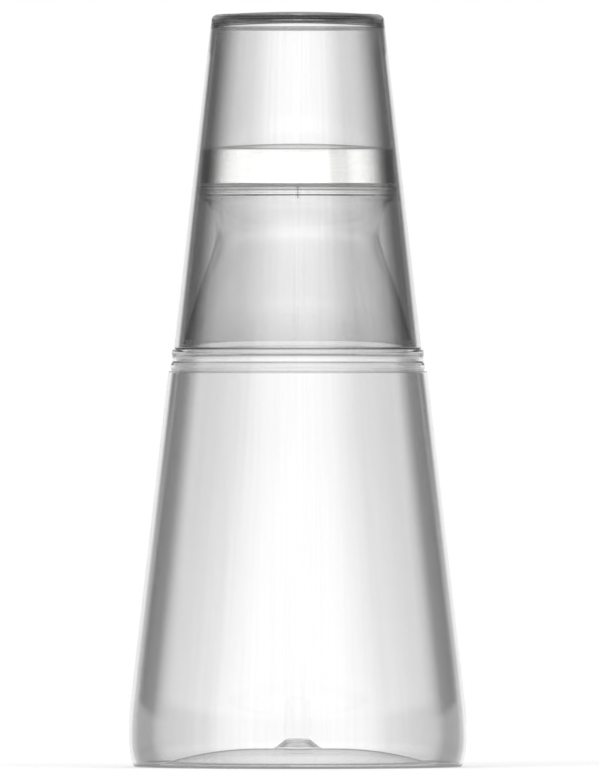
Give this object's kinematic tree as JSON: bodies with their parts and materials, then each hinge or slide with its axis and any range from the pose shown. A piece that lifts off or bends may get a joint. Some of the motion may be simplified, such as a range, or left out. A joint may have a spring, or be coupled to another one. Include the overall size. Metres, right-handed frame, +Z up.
{
  "type": "water carafe",
  "caption": "Clear tapering bedside water carafe with a ribbed band, waisted neck, push-in metal-look lid and an upside-down tumbler over the neck.",
  "frame": {"origin": "centre of the foot, on the surface that the carafe stands on", "axes": "+Z up along the axis of revolution; the neck's parting line faces -Y, towards the picture's viewer"},
  "size_m": [0.112, 0.112, 0.25],
  "materials": {
    "clear_carafe": "clear and glossy",
    "clear_tumbler": "clear and glossy",
    "polished_shell": "polished",
    "white_insert": "satin moulded",
    "soft_seal": "soft matt"
  },
  "bodies": {
    "carafe": {"carafe": "clear_carafe"},
    "lid": {"lid_shell": "polished_shell", "lid_insert": "white_insert", "lid_seal": "soft_seal"},
    "tumbler": {"tumbler": "clear_tumbler"}
  },
  "joints": [
    {"name": "lid_lift", "type": "slide", "parent": "carafe", "child": "lid", "axis": [0, 0, 1], "range_m": [0, 0.03]},
    {"name": "tumbler_lift", "type": "slide", "parent": "lid", "child": "tumbler", "axis": [0, 0, 1], "range_m": [0, 0.08]}
  ]
}
